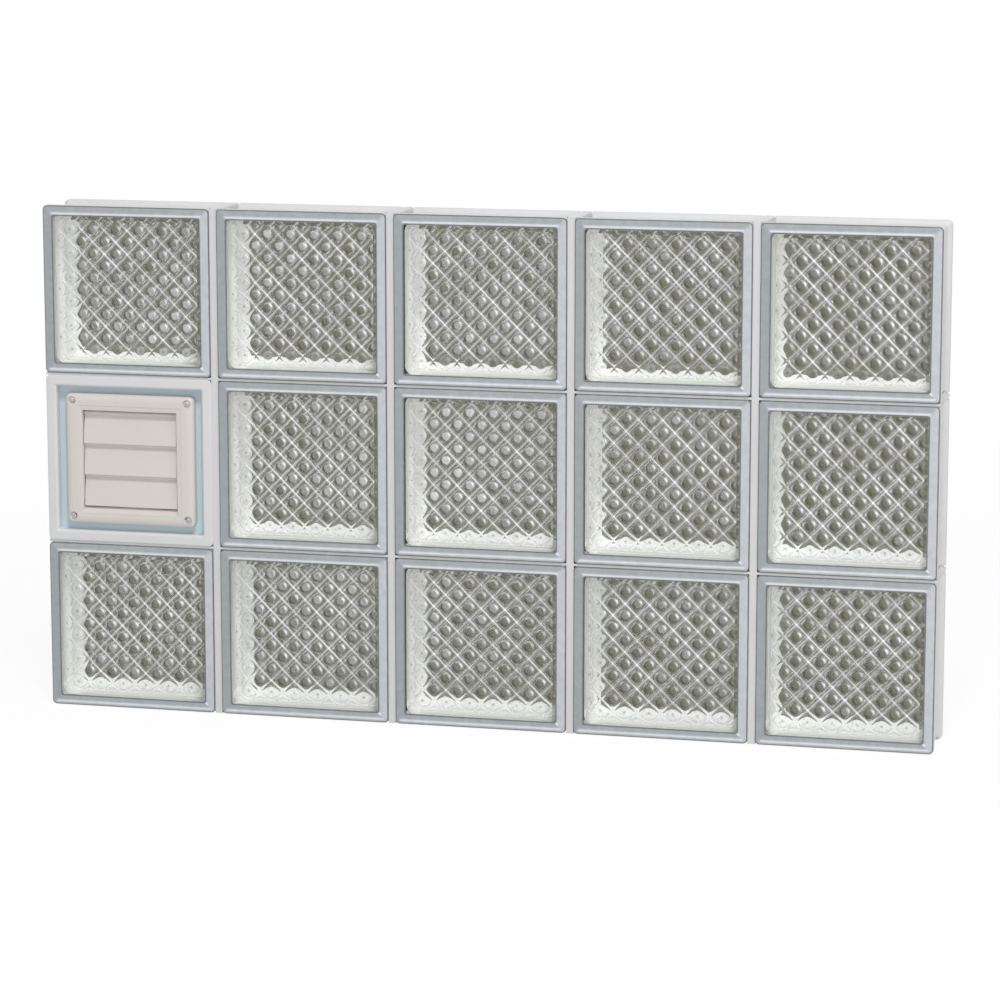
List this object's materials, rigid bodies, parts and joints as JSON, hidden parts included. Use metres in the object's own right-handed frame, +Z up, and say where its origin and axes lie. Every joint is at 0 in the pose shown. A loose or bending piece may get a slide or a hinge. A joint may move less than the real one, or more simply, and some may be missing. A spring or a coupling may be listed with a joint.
{
  "type": "glass block window",
  "caption": "Upright rectangular window of hollow pressed glass blocks in sealed rows and columns, with a small louvred dryer vent in one cell.",
  "frame": {"origin": "middle of the width and depth on the bottom edge", "axes": "+X along the width, to the right seen from outdoors; +Y through the window, from outdoors to indoors; +Z up"},
  "size_m": [0.9842, 0.0794, 0.557],
  "materials": {
    "pressed_glass": "pressed, clear with a diamond pattern",
    "seal": "satin silicone",
    "frame_plastic": "white moulded vinyl",
    "cover_plastic": "beige moulded",
    "collar_metal": "rolled sheet"
  },
  "bodies": {
    "window": {"column_seal_1": "seal", "column_seal_2": "seal", "column_seal_3": "seal", "column_seal_4": "seal", "duct_collar": "collar_metal", "glass_block_bottom_1": "pressed_glass", "glass_block_bottom_2": "pressed_glass", "glass_block_bottom_3": "pressed_glass", "glass_block_bottom_4": "pressed_glass", "glass_block_bottom_5": "pressed_glass", "glass_block_middle_2": "pressed_glass", "glass_block_middle_3": "pressed_glass", "glass_block_middle_4": "pressed_glass", "glass_block_middle_5": "pressed_glass", "glass_block_top_1": "pressed_glass", "glass_block_top_2": "pressed_glass", "glass_block_top_3": "pressed_glass", "glass_block_top_4": "pressed_glass", "glass_block_top_5": "pressed_glass", "row_seal_under_middle": "seal", "row_seal_under_top": "seal", "vent_back_panel": "frame_plastic", "vent_cover": "cover_plastic", "vent_frame": "frame_plastic", "vent_front_panel": "frame_plastic"},
    "louvre_top": {"louvre_top": "cover_plastic"},
    "louvre_middle": {"louvre_middle": "cover_plastic"},
    "louvre_bottom": {"louvre_bottom": "cover_plastic"}
  },
  "joints": [
    {"name": "louvre_top_hinge", "type": "hinge", "parent": "window", "child": "louvre_top", "pos_m": [-0.39687, -0.03119, 0.3291], "axis": [-1, 0, 0], "range_deg": [0, 60]},
    {"name": "louvre_middle_hinge", "type": "hinge", "parent": "window", "child": "louvre_middle", "pos_m": [-0.39687, -0.03119, 0.29437], "axis": [-1, 0, 0], "range_deg": [0, 60]},
    {"name": "louvre_bottom_hinge", "type": "hinge", "parent": "window", "child": "louvre_bottom", "pos_m": [-0.39687, -0.03119, 0.25963], "axis": [-1, 0, 0], "range_deg": [0, 60]}
  ]
}
